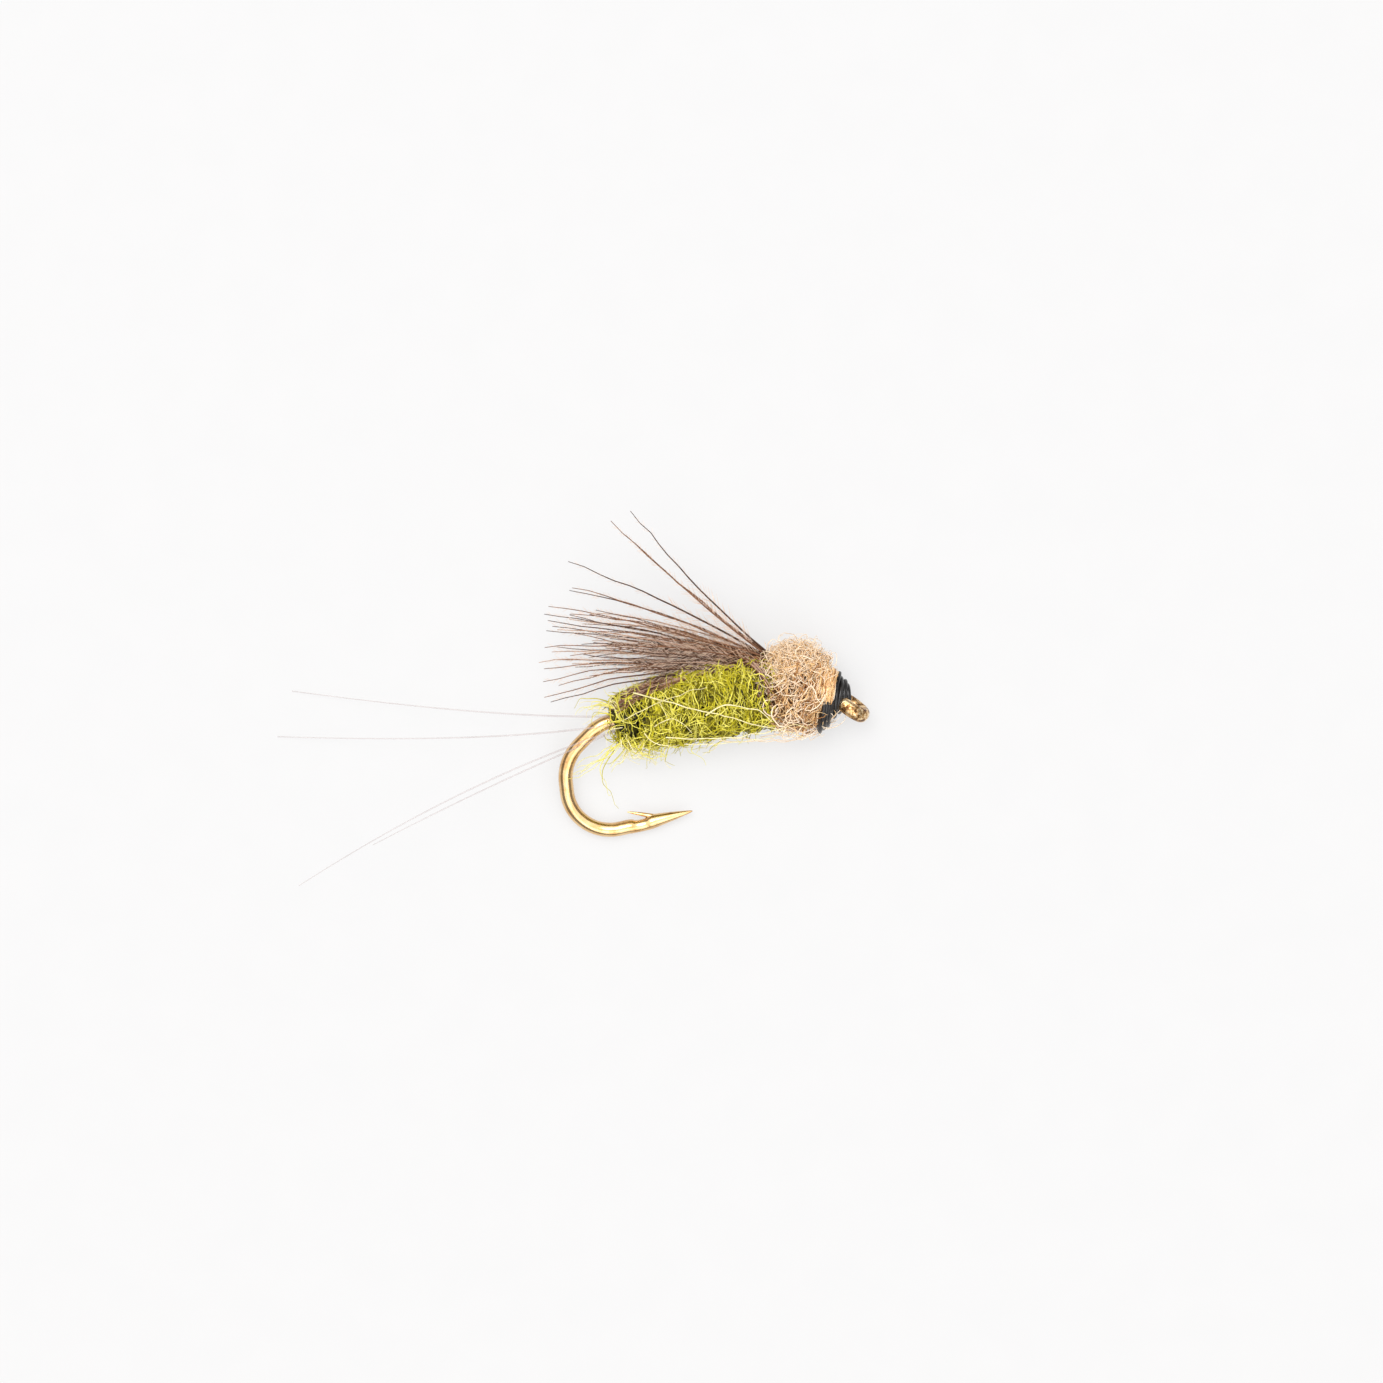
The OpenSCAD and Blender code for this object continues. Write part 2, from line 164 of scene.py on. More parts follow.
def tying_thread():
    """Waxed black thread with the fine lay of its filaments."""
    material, nodes, links, shader = new_material("tying_thread")
    lay = place_pattern(nodes, links, "ShaderNodeTexNoise", 22000, Detail=3.0, Roughness=0.6)
    tone = ramp(nodes, links, lay.outputs["Fac"],
                [(0.35, (0.004, 0.0035, 0.0035)), (0.7, (0.02, 0.017, 0.016))])
    links.new(tone.outputs["Color"], shader.inputs["Base Color"])
    rough_between(nodes, links, lay.outputs["Fac"], 0.2, 0.42, shader)
    add_bump(nodes, links, lay.outputs["Fac"], 0.006, shader)
    shader.inputs["Coat Weight"].default_value = 0.35
    shader.inputs["Coat Roughness"].default_value = 0.1
    shader.inputs["Specular IOR Level"].default_value = 0.3
    return material


def clear_nylon():
    """Clear nylon, given a faint grey that is painted shade: it stands for the dark edges that a clear
    filament shows against the table.
    """
    material, nodes, links, shader = new_material("clear_nylon")
    cloud = place_pattern(nodes, links, "ShaderNodeTexNoise", 900, Detail=2.0)
    tone = ramp(nodes, links, cloud.outputs["Fac"],
                [(0.3, (0.42, 0.34, 0.33)), (0.7, (0.56, 0.48, 0.47))])
    links.new(tone.outputs["Color"], shader.inputs["Base Color"])
    rough_between(nodes, links, cloud.outputs["Fac"], 0.5, 0.7, shader)
    shader.inputs["Specular IOR Level"].default_value = 0.1
    shader.inputs["Alpha"].default_value = 0.26
    return material


def fibre_material(name, dark, light, scale, rough, sheen, through=0.0):
    """Hair or fur whose colour drifts between two tones along and across the fibres."""
    material, nodes, links, shader = new_material(name)
    drift = place_pattern(nodes, links, "ShaderNodeTexNoise", scale, Detail=4.0, Roughness=0.6)
    tone = ramp(nodes, links, drift.outputs["Fac"], [(0.32, dark), (0.68, light)])
    links.new(tone.outputs["Color"], shader.inputs["Base Color"])
    rough_between(nodes, links, drift.outputs["Fac"], rough - 0.08, rough + 0.08, shader)
    shader.inputs["Sheen Weight"].default_value = sheen
    shader.inputs["Sheen Roughness"].default_value = 0.4
    shader.inputs["Specular IOR Level"].default_value = 0.25
    shader.inputs["Transmission Weight"].default_value = through
    return material


def table_top():
    """A white table of translucent glass, lit a little from below."""
    material, nodes, links, shader = new_material("table_top")
    grain = place_pattern(nodes, links, "ShaderNodeTexNoise", 700, Detail=3.0)
    tone = ramp(nodes, links, grain.outputs["Fac"],
                [(0.3, (0.198, 0.197, 0.197)), (0.7, (0.204, 0.202, 0.202))])
    links.new(tone.outputs["Color"], shader.inputs["Base Color"])
    shader.inputs["Roughness"].default_value = 0.9
    shader.inputs["Specular IOR Level"].default_value = 0.1
    shader.inputs["Emission Color"].default_value = (1, 0.995, 0.995, 1)
    shader.inputs["Emission Strength"].default_value = 0.62
    return material


GOLD = gold_wire()
EYE_GOLD = eye_gold()
THREAD = tying_thread()
NYLON = clear_nylon()
# near-black olive: painted shade of the abdomen's heart, where it shows between strands
OLIVE_SHADE_CORE = fibre_material("olive_painted_shade", (0.008, 0.008, 0.003), (0.05, 0.045, 0.006), 4000, 0.6, 0.0)
OLIVE_DARK = fibre_material("olive_dark", (0.07, 0.06, 0.003), (0.3, 0.25, 0.01), 5000, 0.5, 0.0)
OLIVE = fibre_material("olive", (0.4, 0.35, 0.01), (0.72, 0.63, 0.03), 5000, 0.45, 0.05)
OLIVE_LIGHT = fibre_material("olive_light", (0.78, 0.7, 0.06), (0.92, 0.85, 0.2), 5000, 0.42, 0.1)
OLIVE_PALE = fibre_material("olive_pale", (0.8, 0.7, 0.3), (0.95, 0.86, 0.55), 5000, 0.42, 0.1)
# near-black tan: painted shade of the thorax's heart, where it shows between strands
TAN_SHADE_CORE = fibre_material("tan_painted_shade", (0.04, 0.018, 0.01), (0.2, 0.1, 0.04), 4000, 0.6, 0.0)
TAN_DARK = fibre_material("tan_dark", (0.3, 0.13, 0.045), (0.58, 0.3, 0.11), 5000, 0.5, 0.0)
TAN = fibre_material("tan", (0.7, 0.42, 0.18), (0.88, 0.61, 0.31), 5000, 0.45, 0.05)
TAN_LIGHT = fibre_material("tan_light", (0.9, 0.66, 0.42), (0.97, 0.82, 0.64), 5000, 0.42, 0.1)
FEATHER_DARK = fibre_material("feather_dark", (0.03, 0.012, 0.006), (0.11, 0.045, 0.022), 5000, 0.5, 0.0)
FEATHER = fibre_material("feather", (0.1, 0.042, 0.02), (0.27, 0.125, 0.062), 5000, 0.5, 0.0)
FEATHER_LIGHT = fibre_material("feather_light", (0.3, 0.17, 0.11), (0.52, 0.34, 0.24), 5000, 0.5, 0.1)
BARBULE = fibre_material("barbule", (0.45, 0.25, 0.14), (0.85, 0.6, 0.43), 5000, 0.5, 0.1)
DOWN = fibre_material("down", (0.7, 0.47, 0.34), (0.88, 0.7, 0.57), 5000, 0.5, 0.2)
TABLE = table_top()


# ---------------------------------------------------------------- making pieces from strands

def select_only(piece):
    """Makes one piece the only selected one, and the active one."""
    bpy.ops.object.select_all(action="DESELECT")
    piece.select_set(True)
    bpy.context.view_layer.objects.active = piece


def strand_piece(name, strands, materials, smoothness=0):
    """One mesh of round strands: each is its points, its radii in millimetres and its material's number."""
    curve = bpy.data.curves.new(name, "CURVE")
    curve.dimensions = "3D"
    curve.bevel_depth = MM
    curve.bevel_resolution = smoothness
    curve.use_fill_caps = True
    for material in materials:
        curve.materials.append(material)
    for points, radii, number in strands:
        spline = curve.splines.new("POLY")
        closed = len(points) > 3 and points[0] == points[-1]
        if closed:
            points, radii = points[:-1], radii[:-1]
        spline.points.add(len(points) - 1)
        spline.points.foreach_set("co", [c for p in points for c in (p[0], p[1], p[2], 1.0)])
        spline.points.foreach_set("radius", radii)
        spline.material_index = number
        spline.use_cyclic_u = closed
        spline.use_smooth = True
    piece = bpy.data.objects.new(name, curve)
    bpy.context.collection.objects.link(piece)
    select_only(piece)
    bpy.ops.object.convert(target="MESH")
    return bpy.context.view_layer.objects.active


def finish_piece(piece, slot, *nodes):
    """Ties a piece to the fly's body, in place of any nodes that are named, which it hides. slot is not used.
    """
    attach(piece, BODY)
    if nodes:
        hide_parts(*nodes)


def above_table(p, gap=0.012):
    """The point itself, or the same point raised on to the table."""
    return Vector((p.x, p.y, max(p.z, gap * MM)))


def bent(a, b, c, t):
    """The point at t, from 0 to 1, of the curve that leaves a for b and ends at c."""
    return a * (1 - t) ** 2 + b * (2 * t * (1 - t)) + c * t ** 2


def any_direction(rng):
    """A direction at random."""
    return Vector([rng.uniform(-1, 1) for _ in range(3)]).normalized()


def hair(a, b, c, root, tip, number, steps=6, stray=0.0, seed=0.0):
    """A hair from a over b to c, tapering from root to tip, with a little waviness."""
    points, radii = [], []
    for i in range(steps + 1):
        t = i / steps
        p = bent(a, b, c, t)
        wave = noise.noise_vector(p / (0.45 * MM) + Vector((seed, 0, 0)))
        points.append(above_table(p + wave * stray * MM * t))
        radii.append(root + (tip - root) * t)
    return points, radii, number


# ---------------------------------------------------------------- hook

WIRE = 0.21  # radii and lengths in millimetres
EYE_WIRE = 0.155
EYE_MID = 0.455
EYE_DOWN = math.radians(40)
EYE_REACH = 0.72  # what is nearer than this to the middle of the eye, and beyond HEAD_END, is its ring
HEAD_END = 6.47
HEEL, BACK, THROAT = (1.3, 40), (1.4, 50), (1.25, 96.8)  # the three arcs of the bend: radius, angle
SPEAR_LEN = 2.17
POINT_LEN = 1.26
SPEAR_STEPS = 45
RING_STEPS = 72
BARB_STEPS = 12


def turtle(steps, at, heading):
    """Points and headings of a wire that runs straight (length, 0) or turns left (radius, angle)."""
    path = [(at.copy(), heading)]
    for size, angle in steps:
        count = max(2, round(angle / 3)) if angle else max(2, round(size / 0.1))
        for _ in range(count):
            turn = math.radians(angle) / count
            stride = size * turn if angle else size / count
            middle = heading + turn / 2
            at = at + Vector((math.cos(middle), math.sin(middle))) * stride
            heading += turn
            path.append((at.copy(), heading))
    return path


def eye_ring():
    """The closed ring of the eye, turned down from the shank."""
    middle = in_fly(EYE_AT)
    ahead = Vector((math.cos(EYE_DOWN), -math.sin(EYE_DOWN), 0))
    points = []
    for i in range(RING_STEPS):
        a = math.tau * i / RING_STEPS
        points.append(fly(*(middle + (ahead * math.cos(a) + UP * math.sin(a)) * EYE_MID)))
    return points + points[:1], [EYE_WIRE] * (RING_STEPS + 1), 1


def widen_eye(piece):
    """Makes the wire of the ring wider along the way through it than across."""
    middle = in_fly(EYE_AT)
    way = in_fly(EYE_AT + EYE_AXIS * MM) - middle
    for vertex in piece.data.vertices:
        off = in_fly(vertex.co) - middle
        if off.length < EYE_REACH and in_fly(vertex.co).x > HEAD_END:
            vertex.co = fly(*(middle + off + way * off.dot(way) * 0.4))


def hook_wire():
    """The shank, the bend, the sharpened spear with its barb cut up from it, and the eye."""
    path = turtle([(6.25, 0), HEEL, (0.5, 0), BACK, (0.3, 0), THROAT], Vector((6.45, 0)), math.pi)
    points = [fly(at.x, at.y) for at, _ in path]
    radii = [0.14, 0.18] + [WIRE] * (len(path) - 2)
    start, heading = path[-1]
    along = Vector((math.cos(heading), math.sin(heading)))
    aside = Vector((-along.y, along.x))

    def spear(x, y):
        """A point so far along the spear, and so far aside of it towards the shank."""
        p = start + along * x + aside * y
        return fly(p.x, p.y)

    for i in range(1, SPEAR_STEPS + 1):
        x = SPEAR_LEN * i / SPEAR_STEPS
        sharp = max(0.0, (x - SPEAR_LEN + POINT_LEN) / POINT_LEN)
        cut = 0.045 * math.exp(-((x - 0.64) / 0.26) ** 4)
        radius = WIRE * (1 - sharp) ** 0.8 + 0.014 - cut
        points.append(spear(x, 0.035 * POINT_LEN * sharp - cut))
        radii.append(min(WIRE, radius))
    barb, barb_radii = [], []
    for i in range(BARB_STEPS + 1):
        t = i / BARB_STEPS
        barb.append(spear(1.1 - 0.78 * t, 0.11 + 0.36 * t - 0.03 * t * t))
        barb_radii.append(0.07 * (1 - t) ** 0.6 + 0.01)
    strands = [(points, radii, 0), (barb, barb_radii, 0), eye_ring()]
    piece = strand_piece("hook_wire", strands, [GOLD, EYE_GOLD], 10)
    widen_eye(piece)
    finish_piece(piece, "gold_wire", "hook")


hook_wire()


# ---------------------------------------------------------------- tails

TAIL_ROOT, TAIL_END = 0.03, 0.012
TAIL_RING = 0.315  # how far from the middle of the shank a tail is tied in
# each tail's place round the shank in degrees, the point that it bows over, and its tip
TAILS = [(100, (-3.3, -0.35, 1.1), (-9.7, 0.53, 0.03)), (60, (-3.2, 0.35, 0.85), (-9.15, 1.8, 0.03)),
         (140, (-4.5, -1.3, 1.3), (-9.4, -3.78, 1.9)), (175, (-3.4, -1.35, 1.3), (-7.2, -2.85, 1.5))]


def tails():
    """Four clear filaments, tied in round the end of the shank."""
    for number, (angle, bow, tip) in enumerate(TAILS, 1):
        a = math.radians(angle)
        across = (TAIL_RING * math.cos(a), TAIL_RING * math.sin(a))
        held = fly(0.7, *across)
        root = fly(0.15, *across)
        points, radii, _ = hair(root, table(*bow), table(*tip), TAIL_ROOT, TAIL_END, 0, 30)
        piece = strand_piece(f"tail_{number}", [([held] + points, [TAIL_ROOT] + radii, 0)], [NYLON], 2)
        finish_piece(piece, "clear_nylon", f"tail_fibre_{number}")


tails()


# ---------------------------------------------------------------- dubbed bodies

def rope_centre(wrap, shape):
    """Middle of the dubbing rope at an angle of its winding, with its outward and forward directions."""
    x0, x1, turns, rope = shape["from"], shape["to"], shape["turns"], shape["rope"]
    x = x0 + (x1 - x0) * wrap / (math.tau * turns)
    reach = shape["radius"](x) - rope
    out = Vector((0, math.cos(wrap), math.sin(wrap)))
    return Vector((x, shape["rise"](x), 0)) + out * reach, out


# open places of the fur, seen from above, where the painted shade of the dark heart shows: x, y and size
HOLES = [(0.75, 0.1, 0.36), (0.55, -0.25, 0.32), (0.28, 0.0, 0.34), (3.75, 0.3, 0.26), (3.95, 1.0, 0.3),
         (4.42, 0.45, 0.32), (4.95, 0.2, 0.46), (4.95, -0.4, 0.4), (5.0, 0.75, 0.26), (2.15, -0.35, 0.22),
         (1.7, 0.6, 0.22), (2.7, 0.55, 0.2), (3.1, -0.4, 0.2), (5.5, 0.15, 0.2), (5.75, 0.8, 0.2),
         (5.6, -0.6, 0.2)]


def in_a_hole(p):
    """Whether a point lies in one of the ragged open places of the fur, seen from above."""
    ragged = 0.8 + 0.9 * noise.noise(p * 4.0)
    return p.z > 0 and any(math.hypot(p.x - x, p.y - y) < size * ragged for x, y, size in HOLES)


def curly(p, seed, amount):
    """The point, moved a little, so that a strand of such points is curly."""
    broad = noise.noise_vector(p * 2.2 + Vector((seed, seed, 0))) * amount
    fine = noise.noise_vector(p * 5.5 + Vector((0, seed, seed))) * amount * 0.35
    return p + broad + fine


def strand_from(points, seed, amount, width, number):
    """A strand through these fly points, curled, and thinner towards both ends."""
    placed, radii = [], []
    last = len(points) - 1
    for i, p in enumerate(points):
        placed.append(above_table(fly(*curly(p, seed, amount))))
        radii.append(width * (0.4 + 0.6 * math.sin(math.pi * (0.1 + 0.8 * i / last))))
    return placed, radii, number


def curl(middle, normal, across, radius, start, sweep, thick, number, rng, squash=1.0):
    """A loop of fur that lies on a surface: an arc round middle, in the plane across its normal."""
    other = normal.cross(across)
    seed = rng.uniform(0, 60)
    points, radii = [], []
    steps = 10
    for i in range(steps + 1):
        t = i / steps
        angle = start + sweep * t
        p = middle + across * (radius * math.cos(angle)) + other * (radius * squash * math.sin(angle))
        p = p + normal * 0.05 * math.sin(angle * 2 + seed)
        points.append(above_table(fly(*curly(p, seed, radius * 0.3))))
        radii.append(thick * (0.5 + 0.5 * math.sin(math.pi * min(1, 0.1 + 0.9 * t))))
    return points, radii, number


def rope_strands(shape, count, rng, tones, thick, amount):
    """Strands that twist together in the rope while it winds round the shank."""
    strands = []
    whole = math.tau * shape["turns"]
    while len(strands) < count:
        length = rng.uniform(0.7, 2.1)
        start = rng.uniform(-0.2, whole - length + 0.2)
        around = rng.uniform(0, math.tau)
        twist = rng.uniform(-1.2, 2.0)
        depth = shape["rope"] * rng.uniform(0.8, 1.06)
        points = []
        for i in range(9):
            t = i / 8
            middle, out = rope_centre(start + length * t, shape)
            turn = around + twist * length * t
            aside = Vector((depth * math.sin(turn) * 1.05, 0, 0))
            points.append(middle + out * (depth * math.cos(turn)) + aside)
        width = thick * rng.uniform(0.6, 1.25)
        if rng.random() < 0.12 or not any(in_a_hole(p) for p in points[1:8]):
            strands.append(strand_from(points, rng.uniform(0, 50), amount, width, rng.choice(tones)))
    return strands


def wound_strands(shape, count, rng, tones, thick, amount, drift):
    """Strands that lie round the whole body, each over part of a turn, and drift along it."""
    strands = []
    while len(strands) < count:
        x = rng.uniform(shape["from"] - 0.1, shape["to"] + 0.2)
        start, sweep = rng.uniform(0, math.tau), rng.uniform(0.8, 2.3) * rng.choice((-1, 1))
        along = rng.gauss(0, drift)
        lift = rng.uniform(0.93, 1.06)
        points = []
        for i in range(10):
            t = i / 9
            at = x + along * (t - 0.5)
            turn = math.pi * shape["turns"] * (at - shape["from"]) / (shape["to"] - shape["from"])
            bump = 0.86 + 0.14 * abs(math.sin(turn))
            angle = start + sweep * t
            reach = shape["radius"](at) * lift * bump
            points.append(Vector((at, shape["rise"](at) + reach * math.cos(angle), reach * math.sin(angle))))
        width = thick * rng.uniform(0.6, 1.3)
        if rng.random() < 0.1 or not any(in_a_hole(p) for p in points[2:8]):
            strands.append(strand_from(points, rng.uniform(0, 50), amount, width, rng.choice(tones)))
    return strands


def rope_core(name, shape, material, slot, plump=0.86):
    """The heart of the rope, lumpy, in a dark colour that is painted shade, which shows in the gaps between
    strands.
    """
    points, radii = [], []
    steps = int(shape["turns"] * 28)
    for i in range(steps + 1):
        wrap = math.tau * shape["turns"] * i / steps
        middle, _ = rope_centre(wrap, shape)
        points.append(above_table(fly(*middle), 0.2))
        radii.append(shape["rope"] * plump * (0.96 + 0.08 * noise.noise(Vector((wrap * 2.1, 0, 0)))))
    finish_piece(strand_piece(name, [(points, radii, 0)], [material], 4), slot)


ABDOMEN = {"from": 0.2, "to": 4.35, "turns": 6, "rope": 0.38,
           "radius": lambda x: 0.56 + 0.39 * math.sin(math.pi / 2 * min(1, max(0.0, x) / 1.9)),
           "rise": lambda x: 0.075 * x - 0.04}
THORAX = {"from": 4.85, "to": 5.9, "turns": 2.3, "rope": 0.5,
          "radius": lambda x: 0.95 - 0.12 * abs(x - 5.4),
          "rise": lambda x: 0.32}


def abdomen_curls(count, rng, tones, low, high, thick):
    """Small loops and hooks of fur that lie on the abdomen."""
    strands = []
    while len(strands) < count:
        x, angle = rng.uniform(0.25, 4.5), rng.uniform(0, math.tau)
        out = Vector((0, math.cos(angle), math.sin(angle)))
        p = Vector((x, ABDOMEN["rise"](x), 0)) + out * ABDOMEN["radius"](x) * rng.uniform(0.95, 1.03)
        if in_a_hole(p) and rng.random() < 0.8:
            continue
        across = Vector((1, 0, 0))
        across.rotate(Matrix.Rotation(rng.uniform(0, math.tau), 3, out))
        strands.append(curl(p, out, across, rng.uniform(low, high), 0, rng.uniform(1.5, 4.2),
                            thick * rng.uniform(0.7, 1.2), rng.choice(tones), rng, rng.uniform(0.35, 0.9)))
    return strands


def abdomen():
    """A heart in painted shade under three layers of olive fur, from the deepest, darkest as painted shade,
    to the loose curls.
    """
    rng = random.Random(11)
    rope_core("abdomen_core", ABDOMEN, OLIVE_SHADE_CORE, "olive_dubbing")
    olives = [OLIVE_DARK, OLIVE, OLIVE_LIGHT]
    # the deepest layer is mostly dark olive: painted shade of its depth
    under = rope_strands(ABDOMEN, 1000, rng, [0, 0, 0, 1], 0.024, 0.12)
    over = wound_strands(ABDOMEN, 1250, rng, [0, 0, 1, 1, 1, 2], 0.02, 0.18, 0.5)
    curls = abdomen_curls(800, rng, [0, 1, 1, 2, 2], 0.14, 0.5, 0.015)
    finish_piece(strand_piece("abdomen_fur", under, olives), "olive_dubbing", "abdomen_dubbing")
    finish_piece(strand_piece("abdomen_fur_outer", over, olives), "olive_dubbing")
    finish_piece(strand_piece("abdomen_curls", curls, olives), "olive_dubbing")


def abdomen_thread():
    """The dubbing's own thread, in the grooves between its turns."""
    points = []
    for i in range(5 * 40 + 1):
        wrap = math.tau * (0.5 + i / 40)
        middle, out = rope_centre(wrap, ABDOMEN)
        groove = ABDOMEN["radius"](middle.x) - 0.13
        back = ABDOMEN["rise"](middle.x) + out.y * groove
        points.append(above_table(fly(middle.x + 0.35, back, out.z * groove)))
    piece = strand_piece("dubbing_thread", [(points, [0.03] * len(points), 0)], [THREAD], 2)
    finish_piece(piece, "tying_thread", "abdomen_thread")


# long hairs that lie across the abdomen: root, bow, tip and thickness
LONG_HAIRS = [((0.7, 0.88, 0.62), (2.6, 0.35, 1.55), (5.4, -0.9, 0.66), 0.022),
              ((2.7, 0.1, 1.05), (3.6, 0.75, 1.35), (4.5, -0.25, 1.1), 0.024),
              ((1.5, -0.45, 0.95), (3.2, -0.75, 1.2), (5.6, -0.5, 0.9), 0.018),
              ((2.0, -0.75, 0.75), (3.6, -0.95, 0.9), (4.9, -0.7, 0.7), 0.014),
              ((0.3, 0.1, 0.7), (1.3, 0.75, 1.3), (2.9, 0.85, 0.85), 0.014),
              ((1.2, -0.1, 0.95), (1.75, 0.35, 1.2), (2.2, -0.35, 0.98), 0.016),
              ((1.35, 0.7, 0.7), (1.75, 0.1, 1.2), (1.5, -0.95, 0.5), 0.018),
              ((0.9, -0.3, 0.8), (1.2, -0.9, 0.9), (1.9, -0.75, 0.6), 0.018)]
# tufts at the rear and under the abdomen: root, bow, tip and how many hairs
TUFTS = [((0.35, -0.5, 0.3), (-0.2, -0.95, 0.2), (-1.25, -1.55, 0.1), 5),
         ((0.4, -0.6, 0.2), (0.0, -1.3, 0.1), (-0.35, -1.25, -0.2), 5),
         ((1.2, -0.7, 0.3), (0.95, -1.1, 0.1), (0.9, -1.6, -0.25), 6),
         ((0.7, -0.6, 0.5), (0.4, -1.0, 0.2), (1.1, -1.25, 0.0), 7),
         ((1.5, -0.75, 0.3), (1.2, -1.2, 0.3), (1.55, -1.35, 0.0), 5),
         ((2.2, -0.75, 0.3), (1.9, -1.1, 0.3), (2.35, -1.2, 0.0), 3),
         ((3.0, -0.75, 0.3), (2.6, -0.95, 0.3), (2.3, -1.1, 0.0), 3),
         ((-0.05, -0.75, 0.2), (-0.75, -1.5, 0.3), (-0.2, -2.35, 0.0), 2),
         ((0.05, 0.5, 0.1), (-0.6, 0.85, 0.3), (-1.1, 0.5, -0.1), 4),
         ((0.1, 0.35, 0.5), (-0.3, 0.7, 0.5), (-0.5, 0.25, 0.3), 9),
         ((0.15, 0.3, 0.5), (0.2, 0.9, 0.6), (-0.25, 0.75, 0.3), 6),
         ((0.3, 0.0, 0.6), (-0.2, 0.1, 0.7), (-0.15, -0.4, 0.4), 6),
         ((0.5, -0.45, 0.5), (0.6, -1.0, 0.4), (1.3, -1.0, 0.2), 12),
         ((0.3, -0.35, 0.5), (0.25, -0.95, 0.4), (0.8, -1.1, 0.1), 12),
         ((0.9, -0.5, 0.6), (0.7, -1.05, 0.5), (0.35, -0.85, 0.2), 9),
         ((0.25, 0.35, 0.4), (0.0, 0.65, 0.5), (0.5, 0.75, 0.4), 8)]


def abdomen_strays():
    """Loose hairs that leave the abdomen, and the long ones that lie across it."""
    rng = random.Random(23)
    strands = []
    for _ in range(330):
        wrap = rng.uniform(0, math.tau * 6)
        middle, out = rope_centre(wrap, ABDOMEN)
        root = middle + out * 0.38
        around = Vector((rng.uniform(-0.6, 0.6), -out.z, out.y)) * rng.choice((-1, 1))
        far = rng.uniform(0.2, 0.8)
        bow = root + out * rng.uniform(0.05, 0.22) + around * far * 0.5
        end = root + out * rng.uniform(-0.05, 0.32) + around * far + Vector((rng.uniform(-0.3, 0.2), 0, 0))
        strands.append(hair(fly(*root), fly(*bow), fly(*end), 0.011, 0.005, rng.choice((0, 1, 1)), 10,
                            0.22, rng.uniform(0, 40)))
    for a, b, c, thick in LONG_HAIRS:
        strands.append(hair(fly(*a), fly(*b), fly(*c), thick, thick / 2, 2, 22, 0.16, 3.0))
    for a, b, c, copies in TUFTS:
        for copy in range(copies):
            shift = Vector([rng.uniform(-0.13, 0.13) for _ in range(3)])
            root, bow, end = Vector(a) + shift, Vector(b) + shift, Vector(c) + shift * 2
            thick, number = rng.uniform(0.011, 0.018), rng.choice((0, 1, 1, 2))
            strands.append(hair(fly(*root), fly(*bow), fly(*end), thick, 0.005, number, 14, 0.3, copy * 7.0))
    for _ in range(170):
        at = Vector((rng.uniform(2.1, 4.3), rng.uniform(0.95, 1.33), rng.uniform(0.25, 0.6)))
        across = Vector((rng.uniform(-1, 1), rng.uniform(-1, 1), rng.uniform(-0.3, 0.3))).normalized()
        strands.append(curl(at, across.orthogonal().normalized(), across, rng.uniform(0.1, 0.32), 0,
                            rng.uniform(1.5, 4), rng.uniform(0.009, 0.016), rng.choice((0, 0, 1)), rng, 0.7))
    piece = strand_piece("abdomen_strays", strands, [OLIVE, OLIVE_LIGHT, OLIVE_PALE])
    finish_piece(piece, "olive_dubbing", "abdomen_guard_fibres")


def thorax_point(rng, swell=1.0):
    """A point on the thorax, which is longer towards the back, and its outward direction."""
    around, along = rng.uniform(0, math.tau), rng.uniform(-0.95, 0.8)
    ring = math.sqrt(1 - along * along)
    out = Vector((along, ring * math.cos(around), ring * math.sin(around)))
    p = Vector((5.35 + out.x * 1.05 * swell, 0.35 + out.y * 1.12 * swell, out.z * 0.93 * swell))
    return p, out


def front_wraps(rng, count, along, starts, sweeps):
    """Strands wound round the front of the thorax and on to the collar, which lean forwards at the back."""
    strands = []
    for _ in range(count):
        x, start, sweep = rng.uniform(*along), rng.uniform(*starts), rng.uniform(*sweeps)
        lean = rng.uniform(0.05, 0.4)
        reach = 1.0 - 0.16 * (x - 5.3) + rng.uniform(-0.02, 0.03)
        points = []
        for i in range(10):
            angle = start + sweep * i / 9
            back = 1.1 * math.cos(angle) - 0.15 * (x - 5.3)
            points.append(Vector((x + lean * math.cos(angle), 0.3 + back * reach,
                                  0.93 * reach * math.sin(angle))))
        if not any(in_a_hole(p) for p in points):
            strands.append(strand_from(points, rng.uniform(0, 50), 0.1, rng.uniform(0.011, 0.02),
                                       rng.choice((0, 1, 1, 2))))
    return strands


def thorax():
    """Curls over a heart in painted shade, wound strands at the front, and some of them on to the collar."""
    rng = random.Random(31)
    rope_core("thorax_core", THORAX, TAN_SHADE_CORE, "tan_dubbing", 0.9)
    tans = [TAN_DARK, TAN, TAN_LIGHT]
    # the deepest strands are mostly dark tan: painted shade of their depth
    strands = rope_strands(THORAX, 420, rng, [0, 0, 0, 1], 0.024, 0.12)
    while len(strands) < 1500:
        p, out = thorax_point(rng, rng.uniform(0.84, 1.03))
        if in_a_hole(p) and rng.random() < 0.9:
            continue
        across = out.cross(Vector((1, 0, 0))).normalized()
        across.rotate(Matrix.Rotation(rng.gauss(0, 0.6), 3, out))
        # lighter tones on the back, towards the lamps, darker underneath: painted light and painted shade
        tones = (0, 0, 1, 1, 2) if out.y < 0.35 else (1, 2, 2, 2)
        strands.append(curl(p, out, across, rng.uniform(0.15, 0.75), rng.choice((0, math.pi)),
                            rng.uniform(1.5, 5), rng.uniform(0.01, 0.021), rng.choice(tones), rng,
                            rng.uniform(0.2, 0.8)))
    strands += front_wraps(rng, 240, (5.35, 6.1), (0, math.tau), (0.8, 2.2))
    strands += front_wraps(rng, 130, (6.1, 6.33), (0.6, 1.1), (0.7, 1.3))
    finish_piece(strand_piece("thorax_fur", strands, tans), "tan_dubbing", "thorax_dubbing")


